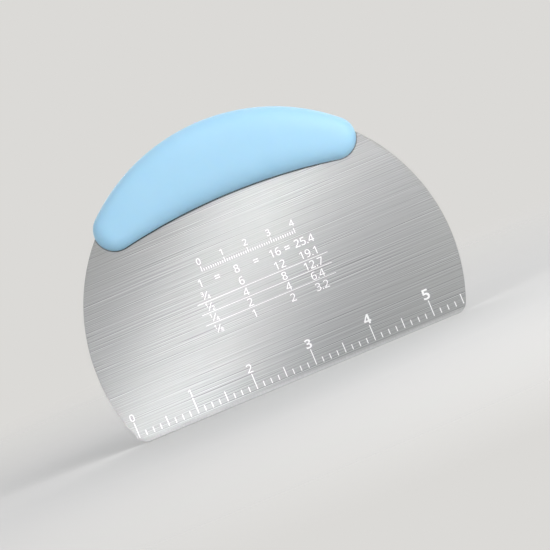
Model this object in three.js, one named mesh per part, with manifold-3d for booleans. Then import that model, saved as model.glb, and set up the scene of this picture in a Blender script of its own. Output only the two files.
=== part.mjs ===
import * as THREE from 'three';
import { mergeVertices } from 'three/addons/utils/BufferGeometryUtils.js';
import Module from 'manifold-3d';

// Half-moon dough scraper: a steel blade held between two hollow handle shells by hidden pins.
// Millimetres. X runs along the straight edge, Z is up, and the printed front faces -Y.
// The origin is the middle of the straight edge, halfway through the sheet.

// Blade, a disc cut off by the straight edge
const bladeWidth = 152.4;
const bladeHeight = 107.4;
const bladeThickness = 1;
const cornerRadius = 5;
const edgeBevelHeight = 1.5;
const edgeTipThickness = 0.5;
const rimBreak = 0.15;

// Handle, a crescent along the top of the blade; depths are measured from the middle of the sheet
const handleLength = 112;
const handleHeight = 30.9;
const handleEndRadius = 8.6;
const handleOverhang = 2.9;
const bellyDepth = 9.5;
const endDepth = 8;
const edgeFullness = 2.8;
const shellWall = 2.2;
const ribThickness = 1.4;

// Pins, evenly spaced along the handle
const pinCount = 5;
const pinRadius = 2;
const pinChamfer = 0.4;
const endPinInset = 12;
const socketFloor = 2.2;
const bossWall = 1.7;

// Clearances
const pinClearance = 0.3;
const pinEndClearance = 0.3;
const bladeFaceClearance = 0.3;
const bladeRimClearance = 0.4;
const partingGap = 0.3;

// Facets, and how far a cutting solid runs past what it cuts
const bladeArcSegments = 96;
const cornerSegments = 6;
const handleArcSegments = 32;
const handleEndSegments = 10;
const domeSteps = 6;
const pinSegments = 24;
const cutMargin = 1;

// Finishes
const bladeSteel = { color: 0xc3c5c7, roughness: 0.35, metalness: 1 };
const pinSteel = { color: 0x9da1a5, roughness: 0.3, metalness: 1 };
const handlePlastic = { color: 0xacd9f2, roughness: 0.6, metalness: 0 };

// Rim arc of the blade and outer arc of the handle share one centre
const bladeRadius = bladeWidth / 2;
const arcCentreZ = bladeHeight - bladeRadius;
const handleRadius = bladeRadius + handleOverhang;
const handleTopZ = arcCentreZ + handleRadius;
const handleCrestZ = handleTopZ - handleHeight;

// The round ends touch the outer arc from inside, and the lower arc runs from end to end over its crest
const endX = handleLength / 2 - handleEndRadius;
const endZ = arcCentreZ + Math.sqrt((handleRadius - handleEndRadius) ** 2 - endX ** 2);
const endRise = endZ - handleCrestZ;
const lowerRadius = (endX ** 2 + endRise ** 2 - handleEndRadius ** 2) / (2 * (handleEndRadius - endRise));
const lowerCentreZ = handleCrestZ - lowerRadius;
const outerHalfAngle = Math.atan2(endX, endZ - arcCentreZ);
const lowerHalfAngle = Math.asin(endX / (lowerRadius + handleEndRadius));
const spineMidZ = (handleTopZ + handleCrestZ) / 2;

// Pins lie on the spine of the handle and stop short of its skin
const outerPinX = handleLength / 2 - endPinInset;
const pinPitch = 2 * outerPinX / (pinCount - 1);
const pinReach = Math.min(bellyDepth, endDepth) - socketFloor - pinEndClearance;
const pinHoleRadius = pinRadius + pinClearance;
const bossRadius = pinHoleRadius + bossWall;

// One rib crosses each boss and one stands halfway to the next
const ribCount = 2 * pinCount - 1;
const ribPitch = pinPitch / 2;

const wasm = await Module();
wasm.setup();

// Closed geometry to a solid, leaving out triangles that merging made flat
function toSolid(geometry) {
  const bare = geometry.clone();
  bare.deleteAttribute('normal');
  bare.deleteAttribute('uv');
  const merged = mergeVertices(bare);
  const index = merged.index.array;
  const kept = [];
  for (let i = 0; i < index.length; i += 3) {
    const [a, b, c] = index.slice(i, i + 3);
    if (a !== b && b !== c && c !== a) kept.push(a, b, c);
  }
  return new wasm.Manifold(new wasm.Mesh({
    numProp: 3,
    vertProperties: merged.attributes.position.array,
    triVerts: new Uint32Array(kept),
  }));
}

function toGeometry(solid) {
  const mesh = solid.getMesh();
  const geometry = new THREE.BufferGeometry();
  geometry.setAttribute('position', new THREE.BufferAttribute(mesh.vertProperties, 3));
  geometry.setIndex(new THREE.BufferAttribute(mesh.triVerts, 1));
  geometry.computeVertexNormals();
  return geometry;
}

function unite(solids) {
  return solids.reduce((whole, solid) => whole.add(solid));
}

function arcPoints(centreX, centreZ, radius, startAngle, endAngle, segments) {
  const points = [];
  for (let i = 0; i <= segments; i += 1) {
    const angle = startAngle + (endAngle - startAngle) * i / segments;
    const x = centreX + radius * Math.cos(angle);
    const z = centreZ + radius * Math.sin(angle);
    points.push(new THREE.Vector2(x, z));
  }
  return points;
}

// Round bar along Y
function rod(radius, lowY, highY, x, z, segments) {
  const bar = new THREE.CylinderGeometry(radius, radius, highY - lowY, segments);
  return toSolid(bar.translate(x, (lowY + highY) / 2, z));
}

// Middle line of the handle, from -1 at the left end centre to 1 at the right end centre
function spinePoint(along) {
  const z = endZ + (spineMidZ - endZ) * (1 - along ** 2);
  return new THREE.Vector2(along * endX, z);
}

function pinCentres() {
  const centres = [];
  for (let i = 0; i < pinCount; i += 1) {
    centres.push(spinePoint((i * pinPitch - outerPinX) / endX));
  }
  return centres;
}

// Blade: sheet with broken edges and pin holes, ground on both sides along the straight edge
function bladeGeometry() {
  const cornerX = Math.sqrt((bladeRadius - cornerRadius) ** 2 - (arcCentreZ - cornerRadius) ** 2);
  const cornerAngle = Math.atan2(cornerRadius - arcCentreZ, cornerX);
  const farAngle = Math.PI - cornerAngle;
  const right = arcPoints(cornerX, cornerRadius, cornerRadius, -Math.PI / 2, cornerAngle, cornerSegments);
  const rim = arcPoints(0, arcCentreZ, bladeRadius, cornerAngle, farAngle, bladeArcSegments);
  const left = arcPoints(-cornerX, cornerRadius, cornerRadius, farAngle, 1.5 * Math.PI, cornerSegments);
  const outline = new THREE.Shape([...right, ...rim.slice(1, -1), ...left]);
  for (const centre of pinCentres()) {
    const hole = arcPoints(centre.x, centre.y, pinHoleRadius, 0, 2 * Math.PI, pinSegments);
    outline.holes.push(new THREE.Path(hole.slice(0, -1)));
  }
  const sheet = new THREE.ExtrudeGeometry(outline, {
    depth: bladeThickness - 2 * rimBreak,
    bevelThickness: rimBreak,
    bevelSize: rimBreak,
    bevelOffset: -rimBreak,
    bevelSegments: 1,
  });
  sheet.translate(0, 0, rimBreak - bladeThickness / 2).rotateX(Math.PI / 2);
  const rearGrind = toSolid(grindWedge());
  const frontGrind = toSolid(grindWedge().rotateZ(Math.PI));
  return toGeometry(toSolid(sheet).subtract(rearGrind).subtract(frontGrind));
}

// Waste that grinding takes off the rear side of the straight edge
function grindWedge() {
  const tipY = edgeTipThickness / 2;
  const faceY = bladeThickness / 2;
  const lead = cutMargin * (faceY - tipY) / edgeBevelHeight;
  const section = new THREE.Shape([
    new THREE.Vector2(tipY - lead, -cutMargin),
    new THREE.Vector2(faceY + lead, -cutMargin),
    new THREE.Vector2(faceY + lead, edgeBevelHeight + cutMargin),
  ]);
  const wedge = new THREE.ExtrudeGeometry(section, { depth: bladeWidth, bevelEnabled: false });
  wedge.translate(0, 0, -bladeWidth / 2);
  return wedge.applyMatrix4(new THREE.Matrix4().makeBasis(
    new THREE.Vector3(0, 1, 0),
    new THREE.Vector3(0, 0, 1),
    new THREE.Vector3(1, 0, 0),
  ));
}

// Outline of the handle drawn in by an inset, each point with its partner on the spine
function handleStations(inset) {
  const outerStart = Math.PI / 2 - outerHalfAngle;
  const outerEnd = Math.PI / 2 + outerHalfAngle;
  const lowerStart = Math.PI / 2 + lowerHalfAngle;
  const lowerEnd = Math.PI / 2 - lowerHalfAngle;
  const endRadius = handleEndRadius - inset;
  const outer = arcPoints(0, arcCentreZ, handleRadius - inset, outerStart, outerEnd, handleArcSegments);
  const lower = arcPoints(0, lowerCentreZ, lowerRadius + inset, lowerStart, lowerEnd, handleArcSegments);
  const left = arcPoints(-endX, endZ, endRadius, outerEnd, lowerStart + Math.PI, handleEndSegments);
  const right = arcPoints(endX, endZ, endRadius, lowerEnd - Math.PI, outerStart, handleEndSegments);
  const along = (i) => 2 * i / handleArcSegments - 1;
  return [
    ...outer.map((edge, i) => ({ edge, spine: spinePoint(-along(i)) })),
    ...left.slice(1, -1).map((edge) => ({ edge, spine: spinePoint(-1) })),
    ...lower.map((edge, i) => ({ edge, spine: spinePoint(along(i)) })),
    ...right.slice(1, -1).map((edge) => ({ edge, spine: spinePoint(1) })),
  ];
}

// Half of a puffed crescent, flat at Y = 0 and domed towards +Y, drawn in all round by an inset
function handlePillow(inset) {
  const stations = handleStations(inset);
  const positions = [];
  const addRing = (towardsSpine, rise) => {
    for (const { edge, spine } of stations) {
      const point = edge.clone().lerp(spine, towardsSpine);
      const depth = endDepth + (bellyDepth - endDepth) * (1 - (spine.x / endX) ** 2) - inset;
      positions.push(point.x, depth * rise, point.y);
    }
  };
  for (let step = 0; step < domeSteps; step += 1) {
    const turn = Math.PI / 2 * step / domeSteps;
    addRing(1 - Math.cos(turn) ** (2 / edgeFullness), Math.sin(turn) ** (2 / edgeFullness));
  }
  addRing(1, 1);
  addRing(1, 0);
  const triangles = [];
  const count = stations.length;
  const floorRing = (domeSteps + 1) * count;
  for (let i = 0; i < count; i += 1) {
    const next = (i + 1) % count;
    for (let ring = 0; ring < floorRing - count; ring += count) {
      triangles.push(ring + i, ring + count + i, ring + count + next);
      triangles.push(ring + i, ring + count + next, ring + next);
    }
    triangles.push(i, next, floorRing + next);
    triangles.push(i, floorRing + next, floorRing + i);
  }
  const pillow = new THREE.BufferGeometry();
  pillow.setAttribute('position', new THREE.Float32BufferAttribute(positions, 3));
  pillow.setIndex(triangles);
  return toSolid(pillow);
}

// Handle shell on the +Y side: hollow, with pin bosses and cross ribs left standing up to the blade
function shellGeometry() {
  const centres = pinCentres();
  const deepest = Math.max(bellyDepth, endDepth);
  const bosses = centres.map(({ x, y }) => rod(bossRadius, -cutMargin, deepest, x, y, pinSegments));
  const ribs = [];
  for (let i = 0; i < ribCount; i += 1) {
    const rib = new THREE.BoxGeometry(ribThickness, 2 * deepest, handleTopZ);
    ribs.push(toSolid(rib.translate(i * ribPitch - outerPinX, 0, handleTopZ / 2)));
  }
  const hollow = handlePillow(shellWall).subtract(unite([...bosses, ...ribs]));
  const sockets = centres.map(({ x, y }) => (
    rod(pinHoleRadius, -cutMargin, pinReach + pinEndClearance, x, y, pinSegments)
  ));
  const pocketDepth = bladeThickness / 2 + bladeFaceClearance;
  const pocketRadius = bladeRadius + bladeRimClearance;
  const pocket = rod(pocketRadius, -cutMargin, pocketDepth, 0, arcCentreZ, bladeArcSegments);
  const partingSlab = new THREE.BoxGeometry(bladeWidth, cutMargin + partingGap / 2, handleTopZ + cutMargin);
  partingSlab.translate(0, (partingGap / 2 - cutMargin) / 2, (handleTopZ + cutMargin) / 2);
  const waste = unite([hollow, pocket, toSolid(partingSlab), ...sockets]);
  return toGeometry(handlePillow(0).subtract(waste));
}

// Dowel pin along Y with chamfered ends
function pinGeometry() {
  return new THREE.LatheGeometry([
    new THREE.Vector2(0, -pinReach),
    new THREE.Vector2(pinRadius - pinChamfer, -pinReach),
    new THREE.Vector2(pinRadius, pinChamfer - pinReach),
    new THREE.Vector2(pinRadius, pinReach - pinChamfer),
    new THREE.Vector2(pinRadius - pinChamfer, pinReach),
    new THREE.Vector2(0, pinReach),
  ], pinSegments);
}

function addPiece(group, name, geometry, finish) {
  const piece = new THREE.Mesh(geometry, new THREE.MeshStandardMaterial(finish));
  piece.name = name;
  group.add(piece);
  return piece;
}

const scraper = new THREE.Group();
scraper.name = 'dough_scraper';

addPiece(scraper, 'blade', bladeGeometry(), bladeSteel);

// The two shells come from one mould, and the front one is the rear one turned half a turn
const shell = shellGeometry();
addPiece(scraper, 'rear_handle_shell', shell, handlePlastic);
addPiece(scraper, 'front_handle_shell', shell, handlePlastic).rotation.z = Math.PI;

pinCentres().forEach((centre, i) => {
  const pin = addPiece(scraper, `handle_pin_${i + 1}`, pinGeometry(), pinSteel);
  pin.position.set(centre.x, 0, centre.y);
});

export default scraper;
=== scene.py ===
from math import asin, atan2, cos, pi, radians, sin, sqrt

import bmesh
import bpy
from mathutils import Matrix, Vector


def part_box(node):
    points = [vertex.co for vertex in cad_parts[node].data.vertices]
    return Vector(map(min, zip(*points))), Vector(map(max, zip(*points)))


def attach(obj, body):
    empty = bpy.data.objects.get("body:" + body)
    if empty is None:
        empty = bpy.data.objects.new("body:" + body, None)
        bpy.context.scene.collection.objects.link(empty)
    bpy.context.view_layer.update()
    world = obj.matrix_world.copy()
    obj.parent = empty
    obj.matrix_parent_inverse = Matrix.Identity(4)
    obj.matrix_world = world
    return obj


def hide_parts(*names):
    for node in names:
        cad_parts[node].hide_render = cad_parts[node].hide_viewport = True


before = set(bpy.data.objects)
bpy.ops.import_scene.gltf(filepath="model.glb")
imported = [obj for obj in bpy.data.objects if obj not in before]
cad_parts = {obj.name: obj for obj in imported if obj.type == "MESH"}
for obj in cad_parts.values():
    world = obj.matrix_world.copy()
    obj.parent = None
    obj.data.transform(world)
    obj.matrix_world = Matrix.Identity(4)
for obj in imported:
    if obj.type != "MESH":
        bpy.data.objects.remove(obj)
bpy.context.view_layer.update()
bpy.context.scene.view_settings.view_transform = "Standard"

# Sizes that the frame already holds, in metres: X along the straight edge, front towards -Y, Z up
bladeLow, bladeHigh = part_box("blade")
shellLow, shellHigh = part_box("rear_handle_shell")
bladeRadius = (bladeHigh.x - bladeLow.x) / 2
sheetThickness = bladeHigh.y - bladeLow.y
arcCentre = Vector((0, 0, bladeHigh.z - bladeRadius))
frontFaceY = bladeLow.y

inch = 0.0254
millimetre = 0.001
quarterTurn = pi / 2
noiseSpan = (0.3, 0.7)         # where nearly all values of a noise pattern lie

# Outline of the handle: an arc over the blade's rim, two round ends and a flatter arc below

handleShape = {
    "endRadius": 0.0086,
    "middleHeight": 0.0309,
    "endDepth": 0.008,
    "edgeFullness": 2.8,       # 2 is a round edge, more is squarer
    "rimRound": 0.00025,
    "wall": 0.0022,
    "partingGap": 0.0003,
    "bladeGap": 0.0003,
    "rimClearance": 0.0004,
    "ribSetback": 0.000075,    # the ribs stop just short of the blade's pocket
    "arcSteps": 80,
    "endSteps": 30,
    "rimSteps": 3,
    "domeSteps": 18,
    "innerSteps": 8,
    "weld": 0.00001,
    "sliver": 0.0000001,
    "sharpDegrees": 40,
}

endRadius = handleShape["endRadius"]
handleRadius = shellHigh.z - arcCentre.z
crestZ = shellHigh.z - handleShape["middleHeight"]
endCentre = Vector((shellHigh.x - endRadius, 0, shellLow.z + endRadius))
endRise = endCentre.z - crestZ
lowerRadius = (endCentre.x ** 2 + endRise ** 2 - endRadius ** 2) / (2 * (endRadius - endRise))
lowerCentre = Vector((0, 0, crestZ - lowerRadius))
outerHalf = atan2(endCentre.x, endCentre.z - arcCentre.z)
lowerHalf = asin(endCentre.x / (lowerRadius + endRadius))
lowerEndX = lowerRadius * sin(lowerHalf)
spineMidZ = (shellHigh.z + crestZ) / 2

# The hidden pins: the blade's holes and the shells' sockets are set round them

pinSeat = {
    "gap": 0.0003,
    "bossWall": 0.0017,
    "ribThickness": 0.0014,
    "steps": 32,
}

pinNodes = sorted(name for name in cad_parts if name.startswith("handle_pin"))
pinBoxes = [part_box(name) for name in pinNodes]
pinCentres = sorted(((low + high) / 2 for low, high in pinBoxes), key=lambda centre: centre.x)
pinPitch = pinCentres[1].x - pinCentres[0].x
pinReach = pinBoxes[0][1].y
pinHoleRadius = (pinBoxes[0][1].x - pinBoxes[0][0].x) / 2 + pinSeat["gap"]


# Helpers that make objects and meshes

def addObject(name, data):
    made = bpy.data.objects.new(name, data)
    bpy.context.scene.collection.objects.link(made)
    return made


def finishPiece(name, bm, materials, sharpDegrees, replacedNode=None):
    mesh = bpy.data.meshes.new(name)
    bm.to_mesh(mesh)
    bm.free()
    for material in materials:
        mesh.materials.append(material)
    mesh.shade_smooth()
    mesh.set_sharp_from_angle(angle=radians(sharpDegrees))
    piece = addObject(name, mesh)
    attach(piece, "root")
    if replacedNode:
        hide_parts(replacedNode)
    print("made", name, len(mesh.polygons), "faces")


def finalMesh(holder):
    # what an object shows, with its modifier applied or its text filled in
    graph = bpy.context.evaluated_depsgraph_get()
    return bpy.data.meshes.new_from_object(holder.evaluated_get(graph))


def combine(bm, tool, operation):
    # joins a second solid to a bmesh, cuts it away, or keeps what both share
    holders = []
    for solid in (bm, tool):
        mesh = bpy.data.meshes.new("part")
        solid.to_mesh(mesh)
        solid.free()
        holders.append(addObject("part", mesh))
    modifier = holders[0].modifiers.new("combine", "BOOLEAN")
    modifier.operation = operation
    modifier.solver = "EXACT"
    modifier.use_self = True
    modifier.object = holders[1]
    made = finalMesh(holders[0])
    result = bmesh.new()
    result.from_mesh(made)
    used = [holder.data for holder in holders] + [made]
    for holder in holders:
        bpy.data.objects.remove(holder)
    for mesh in used:
        bpy.data.meshes.remove(mesh)
    return result


def pinRods(radius, startY, endY):
    # one rod on each pin's centre
    bm = bmesh.new()
    alongY = Matrix.Rotation(quarterTurn, 4, "X")
    for centre in pinCentres:
        middle = Matrix.Translation((centre.x, (startY + endY) / 2, centre.z))
        bmesh.ops.create_cone(bm, cap_ends=True, segments=pinSeat["steps"], radius1=radius,
                              radius2=radius, depth=endY - startY, matrix=middle @ alongY)
    return bm


def spinArc(bm, vert, centre, angle, steps):
    # counter-clockwise as the front is looked at
    spun = bmesh.ops.spin(bm, geom=[vert], cent=centre, axis=(0, -1, 0), angle=angle, steps=steps)
    return next(item for item in spun["geom_last"] if isinstance(item, bmesh.types.BMVert))


# Node helpers for the materials

def startMaterial(name):
    material = bpy.data.materials.new(name)
    material.use_nodes = True
    tree = material.node_tree
    return material, tree, tree.nodes["Principled BSDF"]


def coordinates(tree, kind="Object"):
    return tree.nodes.new("ShaderNodeTexCoord").outputs[kind]


def splitAxes(tree, vector):
    split = tree.nodes.new("ShaderNodeSeparateXYZ")
    tree.links.new(vector, split.inputs["Vector"])
    return split.outputs


def stretchedNoise(tree, pattern, lift=0):
    # lift moves the pattern across the brushing
    mapping = tree.nodes.new("ShaderNodeMapping")
    noise = tree.nodes.new("ShaderNodeTexNoise")
    shiftX, shiftY, shiftZ = pattern.get("shift", (0, 0, 0))
    mapping.inputs["Location"].default_value = (shiftX, shiftY, shiftZ + lift)
    mapping.inputs["Scale"].default_value = pattern["scale"]
    noise.inputs["Scale"].default_value = 1
    noise.inputs["Detail"].default_value = pattern["detail"]
    noise.inputs["Roughness"].default_value = pattern["roughness"]
    tree.links.new(coordinates(tree), mapping.inputs["Vector"])
    tree.links.new(mapping.outputs["Vector"], noise.inputs["Vector"])
    return noise.outputs["Fac"]


def ramp(tree, source, places, colours):
    node = tree.nodes.new("ShaderNodeValToRGB")
    elements = node.color_ramp.elements
    while len(elements) < len(places):
        elements.new(0.5)
    for element, place, colour in zip(elements, places, colours):
        element.position = place
        element.color = (*colour, 1)
    tree.links.new(source, node.inputs["Fac"])
    return node.outputs["Color"]


def mapRange(tree, source, span, results):
    mapped = tree.nodes.new("ShaderNodeMapRange")
    limits = ("From Min", "From Max", "To Min", "To Max")
    for limit, value in zip(limits, (*span, *results)):
        mapped.inputs[limit].default_value = value
    tree.links.new(source, mapped.inputs["Value"])
    return mapped.outputs["Result"]


def multiplyColour(tree, colour, tone):
    mixed = tree.nodes.new("ShaderNodeMix")
    mixed.data_type = "RGBA"
    mixed.blend_type = "MULTIPLY"
    mixed.inputs["Factor"].default_value = 1
    tree.links.new(colour, mixed.inputs["A"])
    tree.links.new(tone, mixed.inputs["B"])
    return mixed.outputs["Result"]


def fadeTo(tree, colour, otherColour, amount):
    mixed = tree.nodes.new("ShaderNodeMix")
    mixed.data_type = "RGBA"
    mixed.inputs["B"].default_value = (*otherColour, 1)
    tree.links.new(amount, mixed.inputs["Factor"])
    tree.links.new(colour, mixed.inputs["A"])
    return mixed.outputs["Result"]


def mathNode(tree, operation, first, second=None):
    node = tree.nodes.new("ShaderNodeMath")
    node.operation = operation
    for socket, value in zip(node.inputs, (first, second)):
        if isinstance(value, bpy.types.NodeSocket):
            tree.links.new(value, socket)
        elif value is not None:
            socket.default_value = value
    return node.outputs["Value"]


def addBump(tree, shader, height, relief):
    bump = tree.nodes.new("ShaderNodeBump")
    bump.inputs["Strength"].default_value = relief["strength"]
    bump.inputs["Distance"].default_value = relief["depth"]
    tree.links.new(height, bump.inputs["Height"])
    tree.links.new(bump.outputs["Normal"], shader.inputs["Normal"])


def grey(value):
    return (value, value, value)


# Steel of the blade, brushed along the straight edge

brushedSteel = {
    # streaks are about 100 mm long and half a millimetre wide
    "streaks": {"scale": (9, 90, 2100), "detail": 2, "roughness": 0.7},
    "dark": (0.398, 0.406, 0.41),
    "light": (0.428, 0.436, 0.44),
    "roughness": (0.32, 0.28),       # of the dark streaks and of the light ones
    # each hairline has a bright flank beside its dark one
    "hairlines": {"scale": (16, 300, 2700), "detail": 2, "roughness": 0.6, "shift": (3, 1, 7)},
    "hairlineShift": 0.9,
    "hairlineSpan": (-0.3, 0.3),
    "hairlineTones": (0.76, 1.24),
    "hairlineRelief": {"depth": 0.00001, "strength": 0.3},
    # hairlines come in groups, with smoother strips between
    "groups": {"scale": (14, 90, 650), "detail": 1, "roughness": 0.5, "shift": (2, 4, 1)},
    "groupSpan": (0.35, 0.65),
    "groupStrength": (0.25, 1.6),
    # scores are sparse single dark lines, some 40 mm long, each with a painted highlight beside it
    # along its lip
    "scores": {"scale": (18, 200, 2500), "detail": 1, "roughness": 0.5, "shift": (1, 5, 2)},
    "scoreSpan": (0.3, 0.38),
    "scoreTones": (0.57, 1),
    "lipHighlightShift": 0.6,
    "lipHighlightTones": (1.42, 1),
    "anisotropy": 0.4,
}

# painted shadow, put into the steel's colour, along the gap where the blade goes into the handle
paintedJointShadow = {
    "colour": (0.02, 0.034, 0.042),
    "widths": (0.0008, 0.0005),      # in the middle of the handle and at its ends
    "narrowsFrom": 0.4,              # as a share of the way to the ends
    "core": 0.5,                     # the share of the width that is fully dark
    "fadeTop": 0.5,                  # in end radii above an end's centre
    "leftAtTop": 0.15,
}


def jointLine(tree):
    # painted shadow of the gap where the steel goes into the handle: a dark line along the lower arc
    # between its ends, and round the ends
    point = coordinates(tree)
    axes = splitAxes(tree, point)
    sideways = mathNode(tree, "ABSOLUTE", axes["X"])
    narrowing = (endCentre.x * paintedJointShadow["narrowsFrom"], endCentre.x)
    width = mapRange(tree, sideways, narrowing, paintedJointShadow["widths"])

    def nearArc(centre, radius):
        away = tree.nodes.new("ShaderNodeVectorMath")
        away.operation = "DISTANCE"
        away.inputs[1].default_value = centre
        tree.links.new(point, away.inputs[0])
        beyond = mathNode(tree, "SUBTRACT", away.outputs["Value"], radius)
        beyond = mathNode(tree, "ABSOLUTE", beyond)
        share = mathNode(tree, "DIVIDE", beyond, width)
        return mapRange(tree, share, (paintedJointShadow["core"], 1), (1, 0))

    between = mathNode(tree, "LESS_THAN", sideways, lowerEndX)
    line = mathNode(tree, "MULTIPLY", nearArc(lowerCentre, lowerRadius), between)
    # round the ends the painted shadow is strongest low down and fades towards the top
    fadeHeights = (endCentre.z - endRadius, endCentre.z + endRadius * paintedJointShadow["fadeTop"])
    fading = mapRange(tree, axes["Z"], fadeHeights, (1, paintedJointShadow["leftAtTop"]))
    for side in (-1, 1):
        endLine = nearArc((side * endCentre.x, 0, endCentre.z), endRadius)
        endLine = mathNode(tree, "MULTIPLY", endLine, fading)
        line = mathNode(tree, "MAXIMUM", line, endLine)
    return line


def makeBrushedSteel():
    material, tree, shader = startMaterial("brushedSteel")
    streaks = stretchedNoise(tree, brushedSteel["streaks"])
    flank = stretchedNoise(tree, brushedSteel["hairlines"])
    otherFlank = stretchedNoise(tree, brushedSteel["hairlines"], brushedSteel["hairlineShift"])
    hairlines = mathNode(tree, "SUBTRACT", flank, otherFlank)
    groups = stretchedNoise(tree, brushedSteel["groups"])
    strength = mapRange(tree, groups, brushedSteel["groupSpan"], brushedSteel["groupStrength"])
    hairlines = mathNode(tree, "MULTIPLY", hairlines, strength)
    scores = stretchedNoise(tree, brushedSteel["scores"])
    lipHighlightNoise = stretchedNoise(tree, brushedSteel["scores"], brushedSteel["lipHighlightShift"])
    fine = mapRange(tree, hairlines, brushedSteel["hairlineSpan"], brushedSteel["hairlineTones"])
    scored = mapRange(tree, scores, brushedSteel["scoreSpan"], brushedSteel["scoreTones"])
    # the brightening beside each score is a painted highlight
    lipHighlights = mapRange(tree, lipHighlightNoise, brushedSteel["scoreSpan"], brushedSteel["lipHighlightTones"])
    colour = ramp(tree, streaks, noiseSpan, (brushedSteel["dark"], brushedSteel["light"]))
    for tone in (fine, scored, lipHighlights):
        colour = multiplyColour(tree, colour, tone)
    # painted shadow along the handle's lower edge, darkening the steel's colour
    colour = fadeTo(tree, colour, paintedJointShadow["colour"], jointLine(tree))
    tree.links.new(colour, shader.inputs["Base Color"])
    roughness = mapRange(tree, streaks, noiseSpan, brushedSteel["roughness"])
    tree.links.new(roughness, shader.inputs["Roughness"])
    addBump(tree, shader, hairlines, brushedSteel["hairlineRelief"])
    across = tree.nodes.new("ShaderNodeCombineXYZ")     # highlights spread across the brushing
    across.inputs["Z"].default_value = 1
    tree.links.new(across.outputs["Vector"], shader.inputs["Tangent"])
    shader.inputs["Metallic"].default_value = 1
    shader.inputs["Anisotropic"].default_value = brushedSteel["anisotropy"]
    return material


# The ground band along the straight edge and the blanked rim: finer and paler than the brushed faces,
# with a painted highlight just above the edge's tip

groundSteel = {
    "bandHeight": 0.0015,
    "tint": (0.99, 1, 1.01),
    # darker at the tip, a painted highlight just above it, then down to the face's own tone
    "tonePlaces": (0, 0.2, 0.5, 1),
    "tonesWithPaintedHighlight": (0.5, 0.64, 0.6, 0.46),
    "lines": {"scale": (2600, 2600, 300), "detail": 2, "roughness": 0.55},
    "lineTones": (0.93, 1.07),
    "roughness": (0.46, 0.38),
}


def makeGroundSteel():
    material, tree, shader = startMaterial("groundSteel")
    axes = splitAxes(tree, coordinates(tree))
    height = mapRange(tree, axes["Z"], (0, groundSteel["bandHeight"]), (0, 1))
    tint = Vector(groundSteel["tint"])
    tonesWithPaintedHighlight = [tint * tone for tone in groundSteel["tonesWithPaintedHighlight"]]
    # the ramp up the band paints a highlight just above the tip
    colour = ramp(tree, height, groundSteel["tonePlaces"], tonesWithPaintedHighlight)
    lines = stretchedNoise(tree, groundSteel["lines"])
    fine = mapRange(tree, lines, noiseSpan, groundSteel["lineTones"])
    tree.links.new(multiplyColour(tree, colour, fine), shader.inputs["Base Color"])
    roughness = mapRange(tree, lines, noiseSpan, groundSteel["roughness"])
    tree.links.new(roughness, shader.inputs["Roughness"])
    shader.inputs["Metallic"].default_value = 1
    return material


# Light blue plastic of the handle, matte with a faint spark-eroded grain

handlePlastic = {
    "colour": (0.368, 0.65, 0.86),
    "shade": (0.348, 0.63, 0.838),
    "mottle": {"scale": (45, 45, 45), "detail": 3, "roughness": 0.55},
    "mottleSpan": (0.35, 0.65),
    "grain": {"scale": (2600, 2600, 2600), "detail": 2, "roughness": 0.55},
    "grainRelief": {"depth": 0.00001, "strength": 0.4},
    "roughness": (0.5, 0.62),
    "gloss": 0.8,
    "translucency": 0.3,
    "glowReach": (1, 2, 3),      # millimetres for red, green and blue
}


def makeHandlePlastic():
    material, tree, shader = startMaterial("handlePlastic")
    mottle = stretchedNoise(tree, handlePlastic["mottle"])
    grain = stretchedNoise(tree, handlePlastic["grain"])
    colours = (handlePlastic["shade"], handlePlastic["colour"])
    colour = ramp(tree, mottle, handlePlastic["mottleSpan"], colours)
    tree.links.new(colour, shader.inputs["Base Color"])
    roughness = mapRange(tree, grain, noiseSpan, handlePlastic["roughness"])
    tree.links.new(roughness, shader.inputs["Roughness"])
    addBump(tree, shader, grain, handlePlastic["grainRelief"])
    shader.inputs["Specular IOR Level"].default_value = handlePlastic["gloss"]
    shader.inputs["Subsurface Weight"].default_value = handlePlastic["translucency"]
    shader.inputs["Subsurface Radius"].default_value = handlePlastic["glowReach"]
    shader.inputs["Subsurface Scale"].default_value = millimetre
    return material


# White ink of the print, and the satin steel of the pins

printInk = {
    "speckle": {"scale": (1800, 1800, 1800), "detail": 2, "roughness": 0.55},
    "greySpan": (0.3, 0.6),
    "greys": (0.93, 0.97),
    "roughness": (0.45, 0.6),
    "gloss": 0.1,
}

pinSteel = {
    "turned": {"scale": (300, 4000, 300), "detail": 2, "roughness": 0.55},
    "greys": (0.3, 0.42),
    "roughness": (0.25, 0.4),
}


def makePrintInk():
    material, tree, shader = startMaterial("printInk")
    speckle = stretchedNoise(tree, printInk["speckle"])
    greys = [grey(value) for value in printInk["greys"]]
    tree.links.new(ramp(tree, speckle, printInk["greySpan"], greys), shader.inputs["Base Color"])
    roughness = mapRange(tree, speckle, noiseSpan, printInk["roughness"])
    tree.links.new(roughness, shader.inputs["Roughness"])
    shader.inputs["Specular IOR Level"].default_value = printInk["gloss"]
    return material


def makePinSteel():
    material, tree, shader = startMaterial("pinSteel")
    turned = stretchedNoise(tree, pinSteel["turned"])
    greys = [grey(value) for value in pinSteel["greys"]]
    tree.links.new(ramp(tree, turned, noiseSpan, greys), shader.inputs["Base Color"])
    roughness = mapRange(tree, turned, noiseSpan, pinSteel["roughness"])
    tree.links.new(roughness, shader.inputs["Roughness"])
    shader.inputs["Metallic"].default_value = 1
    return material


brushedFinish = makeBrushedSteel()
groundFinish = makeGroundSteel()
plasticFinish = makeHandlePlastic()
inkFinish = makePrintInk()
pinFinish = makePinSteel()
print("materials ready")


# Blade: a half-moon sheet with rounded corners, a broken rim and a ground straight edge

bladeShape = {
    "cornerRadius": 0.005,
    "rimBreak": 0.0002,
    "tipThickness": 0.0005,
    "rimSteps": 240,
    "cornerSteps": 14,
    "broadNormal": 0.9,        # how squarely the front and rear faces look along Y, at least
    "sharpDegrees": 20,
}


def isBroad(face):
    return abs(face.normal.y) > bladeShape["broadNormal"]


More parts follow.
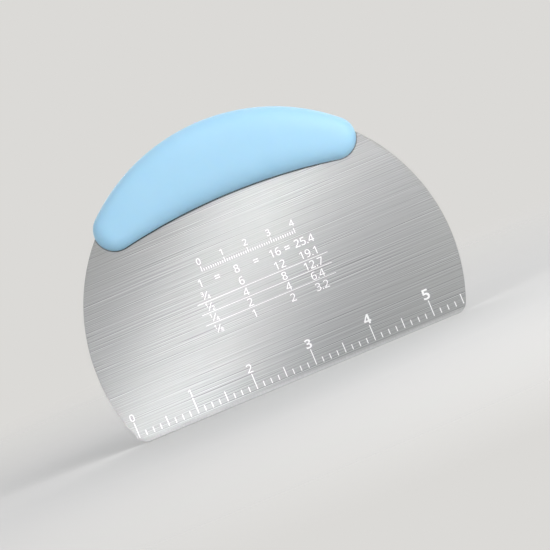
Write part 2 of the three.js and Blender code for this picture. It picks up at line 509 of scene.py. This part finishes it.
def makeBlade():
    corner = bladeShape["cornerRadius"]
    cornerX = sqrt((bladeRadius - corner) ** 2 - (arcCentre.z - corner) ** 2)
    cornerTurn = quarterTurn - atan2(arcCentre.z - corner, cornerX)
    rimTurn = 2 * pi - 2 * cornerTurn
    broken = bladeShape["rimBreak"]
    halfCore = sheetThickness / 2 - broken
    bm = bmesh.new()
    vert = bm.verts.new((cornerX, -halfCore, 0))
    vert = spinArc(bm, vert, (cornerX, 0, corner), cornerTurn, bladeShape["cornerSteps"])
    vert = spinArc(bm, vert, arcCentre, rimTurn, bladeShape["rimSteps"])
    spinArc(bm, vert, (-cornerX, 0, corner), cornerTurn, bladeShape["cornerSteps"])
    outline = bmesh.ops.contextual_create(bm, geom=bm.verts[:])["faces"]
    grown = bmesh.ops.extrude_face_region(bm, geom=outline)["geom"]
    newVerts = [item for item in grown if isinstance(item, bmesh.types.BMVert)]
    bmesh.ops.translate(bm, verts=newVerts, vec=(0, 2 * halfCore, 0))
    bmesh.ops.recalc_face_normals(bm, faces=bm.faces[:])
    broadFaces = [face for face in bm.faces if isBroad(face)]
    bmesh.ops.inset_individual(bm, faces=broadFaces, thickness=broken, depth=broken,
                               use_even_offset=True)
    # the ground edge: both faces draw in to the tip below a line across the blade
    grind = groundSteel["bandHeight"]
    everything = bm.verts[:] + bm.edges[:] + bm.faces[:]
    bmesh.ops.bisect_plane(bm, geom=everything, plane_co=(0, 0, grind), plane_no=(0, 0, 1))
    tipShare = bladeShape["tipThickness"] / sheetThickness
    for vert in bm.verts:
        rise = min(vert.co.z / grind, 1)
        vert.co.y *= tipShare + (1 - tipShare) * rise
    bm.normal_update()
    bm = combine(bm, pinRods(pinHoleRadius, -sheetThickness, sheetThickness), "DIFFERENCE")
    finishes = [brushedFinish, groundFinish]
    for face in bm.faces:
        brushed = isBroad(face) and face.calc_center_median().z >= grind
        face.material_index = finishes.index(brushedFinish if brushed else groundFinish)
    finishPiece("steel_blade", bm, finishes, bladeShape["sharpDegrees"], "blade")


makeBlade()


# Handle: two hollow shells of a puffed crescent, rimmed where they meet and pocketed for the blade

def spinePoint(along):
    # the handle's middle line, from -1 at its left end to 1 at its right end
    return Vector((along * endCentre.x, 0, endCentre.z + (spineMidZ - endCentre.z) * (1 - along ** 2)))


def spineOf(point):
    # the place on the middle line that an outline point is drawn towards
    underSpine = point.z < spinePoint(point.x / endCentre.x).z
    if underSpine and abs(point.x) < lowerEndX + handleShape["weld"]:
        along = atan2(point.x, point.z - lowerCentre.z) / lowerHalf
    else:
        along = atan2(point.x, point.z - arcCentre.z) / outerHalf
    return spinePoint(max(-1, min(1, along)))


def handleOutline(bm):
    endTurn = pi + lowerHalf - outerHalf
    outward = Vector((sin(outerHalf), 0, cos(outerHalf)))
    leftEnd = Vector((-endCentre.x, 0, endCentre.z))
    vert = bm.verts.new(arcCentre + outward * handleRadius)
    vert = spinArc(bm, vert, arcCentre, 2 * outerHalf, handleShape["arcSteps"])
    vert = spinArc(bm, vert, leftEnd, endTurn, handleShape["endSteps"])
    vert = spinArc(bm, vert, lowerCentre, -2 * lowerHalf, handleShape["arcSteps"])
    spinArc(bm, vert, endCentre, endTurn, handleShape["endSteps"])
    bmesh.ops.remove_doubles(bm, verts=bm.verts[:], dist=handleShape["weld"])


def insetPoint(outlinePoint, spine, inset):
    return outlinePoint.lerp(spine, inset / (spine - outlinePoint).length)


def puff(turn, inset, baseOf):
    # places points of the puffed surface, from the rim at 0 to the middle line at a quarter turn
    power = 2 / handleShape["edgeFullness"]
    inward = 1 - cos(turn) ** power
    rise = sin(turn) ** power
    belly, tip = shellHigh.y, handleShape["endDepth"]

    def place(outlinePoint):
        spine = spineOf(outlinePoint)
        depth = tip + (belly - tip) * (1 - (spine.x / endCentre.x) ** 2)
        placed = insetPoint(outlinePoint, spine, inset).lerp(spine, inward)
        base = baseOf(outlinePoint)
        placed.y = base + (depth - inset - base) * rise
        return placed
    return place


def startShell(rimPlace):
    # the outline set at the rim; each point keeps its home on the outline for the rings drawn from it
    bm = bmesh.new()
    handleOutline(bm)
    home = bm.verts.layers.float_vector.new("home")
    for vert in bm.verts:
        vert[home] = vert.co
        vert.co = rimPlace(vert[home])
    return bm, home


def drawRing(bm, edges, home, place):
    # one more ring of the shell: the loop is extruded, and each point placed from its home
    grown = bmesh.ops.extrude_edge_only(bm, edges=edges)["geom"]
    for item in grown:
        if isinstance(item, bmesh.types.BMVert):
            item.co = place(item[home])
    return [item for item in grown if isinstance(item, bmesh.types.BMEdge)]


def drawDome(bm, ring, home, steps, inset, baseOf, firstStep=1):
    # rings from the rim, which is step 0, to the middle line
    for step in range(firstStep, steps + 1):
        ring = drawRing(bm, ring, home, puff(quarterTurn * step / steps, inset, baseOf))


def closeShell(bm):
    # the two sides of the dome meet on the middle line and are joined there
    bmesh.ops.remove_doubles(bm, verts=bm.verts[:], dist=handleShape["weld"])
    bmesh.ops.dissolve_degenerate(bm, dist=handleShape["sliver"], edges=bm.edges[:])
    bmesh.ops.recalc_face_normals(bm, faces=bm.faces[:])


def makeRibs(startY):
    # pin bosses, and cross ribs at the pins and midway between, cut to end inside the shell's wall
    endY = shellHigh.y
    ribs = pinRods(pinHoleRadius + pinSeat["bossWall"], startY, endY)
    size = Matrix.Diagonal((pinSeat["ribThickness"], endY - startY, shellHigh.z - shellLow.z, 1))
    for i in range(2 * len(pinCentres) - 1):
        x = pinCentres[0].x + i * pinPitch / 2
        middle = Matrix.Translation((x, (startY + endY) / 2, (shellHigh.z + shellLow.z) / 2))
        bmesh.ops.create_cube(ribs, size=1, matrix=middle @ size)

    def flatRim(point):
        return 0

    inset = handleShape["wall"] / 2
    inside, home = startShell(puff(0, inset, flatRim))
    rimEdges = inside.edges[:]
    bmesh.ops.contextual_create(inside, geom=inside.verts[:])
    drawDome(inside, rimEdges, home, handleShape["innerSteps"], inset, flatRim)
    closeShell(inside)
    return combine(ribs, inside, "INTERSECT")


def makeShell():
    pocketRadius = bladeRadius + handleShape["rimClearance"]
    partingY = handleShape["partingGap"] / 2
    pocketY = sheetThickness / 2 + handleShape["bladeGap"]
    rounding = handleShape["rimRound"]

    def rimY(point):
        return pocketY if (point - arcCentre).length < pocketRadius else partingY

    def roundedRim(turn):
        inset = rounding * (1 - sin(turn))

        def place(outlinePoint):
            placed = insetPoint(outlinePoint, spineOf(outlinePoint), inset)
            placed.y = rimY(outlinePoint) + rounding * (1 - cos(turn))
            return placed
        return place

    bm, home = startShell(roundedRim(0))
    rimEdges = bm.edges[:]
    ring = rimEdges
    rimSteps = handleShape["rimSteps"]
    for step in range(1, rimSteps + 1):
        ring = drawRing(bm, ring, home, roundedRim(quarterTurn * step / rimSteps))
    drawDome(bm, ring, home, handleShape["domeSteps"], 0, rimY)
    drawDome(bm, rimEdges, home, handleShape["innerSteps"], handleShape["wall"], rimY, firstStep=0)
    closeShell(bm)
    bm = combine(bm, makeRibs(pocketY + handleShape["ribSetback"]), "UNION")
    return combine(bm, pinRods(pinHoleRadius, 0, pinReach + pinSeat["gap"]), "DIFFERENCE")


def makeHandle():
    # the front shell is the rear one turned about the upright axis
    rear = makeShell()
    front = rear.copy()
    halfTurn = Matrix.Rotation(pi, 3, "Z")
    bmesh.ops.rotate(front, verts=front.verts[:], cent=(0, 0, 0), matrix=halfTurn)
    sharp = handleShape["sharpDegrees"]
    finishPiece("rear_grip", rear, [plasticFinish], sharp, "rear_handle_shell")
    finishPiece("front_grip", front, [plasticFinish], sharp, "front_handle_shell")
    for name in pinNodes:
        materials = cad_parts[name].data.materials
        materials.clear()
        materials.append(pinFinish)
    print("handle pins finished")


makeHandle()


# White print: ruler along the straight edge, small metric scale and number table in the middle

inkShape = {
    "thickness": 0.00003,
    "sunk": 0.000005,
    "weld": 0.000001,
    "curveSteps": 6,
    "sharpDegrees": 35,
    "plainZero": 0x1D7E2,        # the font's sans serif digits, whose 1 has a flag, start here
    "boldZero": 0x1D7EC,
}

inkMiddleY = frontFaceY + inkShape["sunk"] - inkShape["thickness"] / 2


def addBar(bm, x, z, width, height):
    # thin printed bar, centred on x with its foot at z
    place = Matrix.Translation((x, inkMiddleY, z + height / 2))
    size = Matrix.Diagonal((width, inkShape["thickness"], height, 1))
    return bmesh.ops.create_cube(bm, size=1, matrix=place @ size)["verts"]


def sansDigits(text, bold):
    zero = inkShape["boldZero"] if bold else inkShape["plainZero"]
    return "".join(chr(zero + int(sign)) if sign.isdigit() else sign for sign in text)


def textMesh(text, bold):
    # figures lying flat, of size 1 and 1 deep
    depth = 1
    curve = bpy.data.curves.new("print", "FONT")
    curve.body = sansDigits(text, bold)
    curve.align_x = "CENTER"
    curve.resolution_u = inkShape["curveSteps"]
    curve.extrude = depth / 2
    holder = addObject("print", curve)
    mesh = finalMesh(holder)
    bpy.data.objects.remove(holder)
    bpy.data.curves.remove(curve)
    return mesh


def digitReach(bold):
    # lowest and highest point of a digit at size 1
    mesh = textMesh("0", bold)
    heights = [vert.co.y for vert in mesh.vertices]
    bpy.data.meshes.remove(mesh)
    return min(heights), max(heights)


digitReaches = {bold: digitReach(bold) for bold in (False, True)}


def addNumber(bm, text, x, z, height, bold=False):
    # text is drawn flat, stood up to face the front and set with its foot at z
    zeroLow, zeroHigh = digitReaches[bold]
    mesh = textMesh(text, bold)
    size = height / (zeroHigh - zeroLow)
    stand = Matrix.Rotation(quarterTurn, 4, "X")
    scale = Matrix.Diagonal((size, size, inkShape["thickness"], 1))
    foot = Matrix.Translation((0, -zeroLow, 0))
    place = Matrix.Translation((x, inkMiddleY, z))
    mesh.transform(place @ stand @ scale @ foot)
    bm.from_mesh(mesh)
    bpy.data.meshes.remove(mesh)


def finishPrint(name, bm):
    # the drawn figures come with loose sides, which are welded here
    bmesh.ops.remove_doubles(bm, verts=bm.verts[:], dist=inkShape["weld"])
    bmesh.ops.dissolve_degenerate(bm, dist=inkShape["weld"], edges=bm.edges[:])
    finishPiece(name, bm, [inkFinish], inkShape["sharpDegrees"])


rulerShape = {
    "inches": 5.5,
    "perInch": 8,
    "footZ": 0.0028,
    "tickWidth": 0.00038,
    "inchTick": 0.0066,
    "halfTick": 0.0042,
    "eighthTick": 0.0022,
    "firstNumber": 0.0029,       # the numbers are taller towards the right, and bold from 3 on
    "lastNumber": 0.0043,
    "boldFrom": 3,
    "numberLift": 0.0005,
}


def makeRuler():
    ticks = bmesh.new()
    numbers = bmesh.new()
    perInch, footZ = rulerShape["perInch"], rulerShape["footZ"]
    smallest, tallest = rulerShape["firstNumber"], rulerShape["lastNumber"]
    for i in range(int(rulerShape["inches"] * perInch) + 1):
        x = (i / perInch - rulerShape["inches"] / 2) * inch
        onInch = i % perInch == 0
        onHalf = i % (perInch // 2) == 0
        height = rulerShape["inchTick" if onInch else "halfTick" if onHalf else "eighthTick"]
        addBar(ticks, x, footZ, rulerShape["tickWidth"], height)
        if onInch:
            number = i // perInch
            share = number / int(rulerShape["inches"])
            tall = smallest + (tallest - smallest) * share
            top = footZ + height + rulerShape["numberLift"]
            addNumber(numbers, str(number), x, top, tall, number >= rulerShape["boldFrom"])
    finishPrint("ruler_ticks", ticks)
    finishPrint("ruler_numbers", numbers)


# The table's columns are inches, eighths, sixteenths and millimetres

tableShape = {
    "columns": (-0.024, -0.0085, 0.008, 0.0205),
    "equals": (-0.0168, -0.0002, 0.0133),
    "rows": (0.0505, 0.0453, 0.0405, 0.036, 0.0312),
    "numbers": (
        ("1", "8", "16", "25.4"),
        ("3/4", "6", "12", "19.1"),
        ("1/2", "4", "8", "12.7"),
        ("1/4", "2", "4", "6.4"),
        ("1/8", "1", "2", "3.2"),
    ),
    "numberHeight": 0.0032,
    "ruleHeights": (0.0428, 0.0383, 0.0339),
    "ruleLeft": -0.0285,
    "ruleRight": 0.0275,
    "ruleWidth": 0.0002,
}

fractionShape = {
    "height": 0.0035,
    "digit": 0.0017,
    "spread": 0.0011,
    "slashWidth": 0.00026,
    "slashLean": 36,
}


def addFraction(bm, text, x, z, height):
    # a small raised digit, a slanted stroke and a small low digit, about the middle of the line
    upper, lower = text.split("/")
    digit, spread, tall = fractionShape["digit"], fractionShape["spread"], fractionShape["height"]
    foot = z + (height - tall) / 2
    addNumber(bm, upper, x - spread, foot + tall - digit, digit)
    addNumber(bm, lower, x + spread, foot, digit)
    stroke = addBar(bm, x, foot, fractionShape["slashWidth"], tall)
    lean = Matrix.Rotation(radians(fractionShape["slashLean"]), 3, "Y")
    bmesh.ops.rotate(bm, verts=stroke, cent=(x, 0, z + height / 2), matrix=lean)


def makeTable():
    rules = bmesh.new()
    numbers = bmesh.new()
    middle = (tableShape["ruleLeft"] + tableShape["ruleRight"]) / 2
    length = tableShape["ruleRight"] - tableShape["ruleLeft"]
    width = tableShape["ruleWidth"]
    for z in tableShape["ruleHeights"]:
        addBar(rules, middle, z - width / 2, length, width)
    height = tableShape["numberHeight"]
    feet = [z - height / 2 for z in tableShape["rows"]]
    for foot, row in zip(feet, tableShape["numbers"]):
        for x, text in zip(tableShape["columns"], row):
            draw = addFraction if "/" in text else addNumber
            draw(numbers, text, x, foot, height)
    for x in tableShape["equals"]:
        addNumber(numbers, "=", x, feet[0], height)
    finishPrint("table_rules", rules)
    finishPrint("table_numbers", numbers)


scaleShape = {
    "centimetres": 4,
    "perCentimetre": 10,
    "startX": -0.0215,
    "footZ": 0.0546,
    "tickWidth": 0.00026,
    "longTick": 0.0022,
    "shortTick": 0.0012,
    "numberHeight": 0.0026,
    "numberLift": 0.0008,
}


def makeMetricScale():
    ticks = bmesh.new()
    numbers = bmesh.new()
    perCentimetre, footZ = scaleShape["perCentimetre"], scaleShape["footZ"]
    for i in range(scaleShape["centimetres"] * perCentimetre + 1):
        x = scaleShape["startX"] + i * millimetre
        onCentimetre = i % perCentimetre == 0
        height = scaleShape["longTick" if onCentimetre else "shortTick"]
        addBar(ticks, x, footZ, scaleShape["tickWidth"], height)
        if onCentimetre:
            top = footZ + height + scaleShape["numberLift"]
            addNumber(numbers, str(i // perCentimetre), x, top, scaleShape["numberHeight"])
    finishPrint("scale_ticks", ticks)
    finishPrint("scale_numbers", numbers)


makeRuler()
makeTable()
makeMetricScale()


# Floor, light and camera

floorShape = {
    "radius": 1.2,
    "segments": 64,
    "colour": (0.68, 0.675, 0.665),
    "roughness": 0.9,
    "fade": (0.14, 0.5),         # solid up to the first distance, gone at the second
}


def mixShaders(tree, amount, first, second, output):
    mixed = tree.nodes.new("ShaderNodeMixShader")
    tree.links.new(amount, mixed.inputs["Fac"])
    tree.links.new(first, mixed.inputs[1])
    tree.links.new(second, mixed.inputs[2])
    tree.links.new(mixed.outputs["Shader"], tree.nodes[output].inputs["Surface"])


def makeFloor():
    bm = bmesh.new()
    bmesh.ops.create_circle(bm, cap_ends=True, segments=floorShape["segments"],
                            radius=floorShape["radius"])
    mesh = bpy.data.meshes.new("floor")
    bm.to_mesh(mesh)
    bm.free()
    material, tree, shader = startMaterial("paleFloor")
    shader.inputs["Base Color"].default_value = (*floorShape["colour"], 1)
    shader.inputs["Roughness"].default_value = floorShape["roughness"]
    shader.inputs["Specular IOR Level"].default_value = 0
    away = tree.nodes.new("ShaderNodeVectorMath")
    away.operation = "LENGTH"
    tree.links.new(coordinates(tree), away.inputs[0])
    solid = mapRange(tree, away.outputs["Value"], floorShape["fade"], (1, 0))
    clear = tree.nodes.new("ShaderNodeBsdfTransparent")
    mixShaders(tree, solid, clear.outputs["BSDF"], shader.outputs["BSDF"], "Material Output")
    mesh.materials.append(material)
    floor = addObject("floor", mesh)


backgroundLook = {
    "shown": (0.71, 0.7, 0.68),      # what the camera and the steel see
    "below": (0.42, 0.43, 0.44),
    "above": (0.57, 0.575, 0.585),
    "turnover": (-0.4, 0.1),         # from below to above, as the upward part of a direction
}


def makeWorld():
    world = bpy.data.worlds.new("studio")
    bpy.context.scene.world = world
    world.use_nodes = True
    tree = world.node_tree
    ambient = tree.nodes["Background"]
    upward = splitAxes(tree, coordinates(tree, "Generated"))["Z"]
    height = mapRange(tree, upward, backgroundLook["turnover"], (0, 1))
    sky = ramp(tree, height, (0, 1), (backgroundLook["below"], backgroundLook["above"]))
    tree.links.new(sky, ambient.inputs["Color"])
    shown = tree.nodes.new("ShaderNodeBackground")
    shown.inputs["Color"].default_value = (*backgroundLook["shown"], 1)
    path = tree.nodes.new("ShaderNodeLightPath").outputs
    seen = mathNode(tree, "MAXIMUM", path["Is Camera Ray"], path["Is Glossy Ray"])
    seen = mathNode(tree, "MAXIMUM", seen, path["Is Transmission Ray"])
    mixShaders(tree, seen, ambient.outputs["Background"], shown.outputs["Background"], "World Output")


lampSetup = {
    "key": {"place": (-0.42, -0.52, 0.55), "size": 0.5, "power": 0.7},
    "right": {"place": (0.37, -0.42, 0.32), "size": 0.6, "power": 3.0},
    "back": {"place": (0.12, 0.62, 0.36), "size": 0.8, "power": 1.9},
}

lampAim = Vector((0, 0, 0.055))

# The long strip leaves the soft bright band on the steel, the others a paler upper right and lower left
# corner. A strip's place and slope are given along X and Z.
stripSetup = {
    "band": {"place": (-0.025, 0.0315), "slope": (0.68, 0.73), "size": (0.4, 0.034), "power": 0.0885},
    "corner": {"place": (0.065, 0.1), "slope": (1, 0), "size": (0.14, 0.09), "power": 0.0165},
    "foot": {"place": (-0.045, -0.03), "slope": (1, 0), "size": (0.09, 0.07), "power": 0.0115},
}

stripDistance = 0.175


def addLight(name, shape, power):
    light = bpy.data.lights.new(name, "AREA")
    light.shape = shape
    light.energy = power
    holder = addObject(name, light)
    holder.visible_camera = False
    return light, holder


def makeLamps():
    for name, lamp in lampSetup.items():
        light, holder = addLight(name, "SQUARE", lamp["power"])
        light.size = lamp["size"]
        holder.location = lamp["place"]
        holder.rotation_euler = (lampAim - holder.location).to_track_quat("-Z", "Y").to_euler()


def makeStrips():
    # small softboxes before each face, seen only as reflections
    # two of them reach below the floor, so they shine through it
    facing = Vector((0, -1, 0))
    halfTurn = Matrix.Rotation(pi, 4, "Z")
    for name, strip in stripSetup.items():
        slopeX, slopeZ = strip["slope"]
        placeX, placeZ = strip["place"]
        along = Vector((slopeX, 0, slopeZ)).normalized()
        turn = Matrix((along, facing.cross(along), facing)).transposed().to_4x4()
        front = Matrix.Translation((placeX, -stripDistance, placeZ)) @ turn
        for side, place in (("Front", front), ("Rear", halfTurn @ front)):
            light, holder = addLight(name + side, "RECTANGLE", strip["power"])
            light.size, light.size_y = strip["size"]
            light.use_shadow = False
            light.cycles.use_multiple_importance_sampling = False
            holder.matrix_world = place
            holder.visible_diffuse = False


cameraSetup = {
    "aim": (0.00465, 0, 0.0422),
    "rollDegrees": 22.55,        # the straight edge climbs to the right in the picture
    "elevationDegrees": 3,
    "distance": 1.6,
    "frameWidth": 0.219,
}


def makeCamera():
    tilt = radians(cameraSetup["elevationDegrees"])
    roll = radians(cameraSetup["rollDegrees"])
    forward = Vector((0, cos(tilt), -sin(tilt)))
    level = Vector((1, 0, 0))
    upright = Vector((0, sin(tilt), cos(tilt)))
    right = level * cos(roll) - upright * sin(roll)
    up = level * sin(roll) + upright * cos(roll)
    optics = bpy.data.cameras.new("camera")
    optics.lens = optics.sensor_width * cameraSetup["distance"] / cameraSetup["frameWidth"]
    camera = addObject("camera", optics)
    turn = Matrix((right, up, -forward)).transposed().to_4x4()
    spot = Vector(cameraSetup["aim"]) - forward * cameraSetup["distance"]
    camera.matrix_world = Matrix.Translation(spot) @ turn
    bpy.context.scene.camera = camera


makeFloor()
makeWorld()
makeLamps()
makeStrips()
makeCamera()
print("floor, light and camera ready")
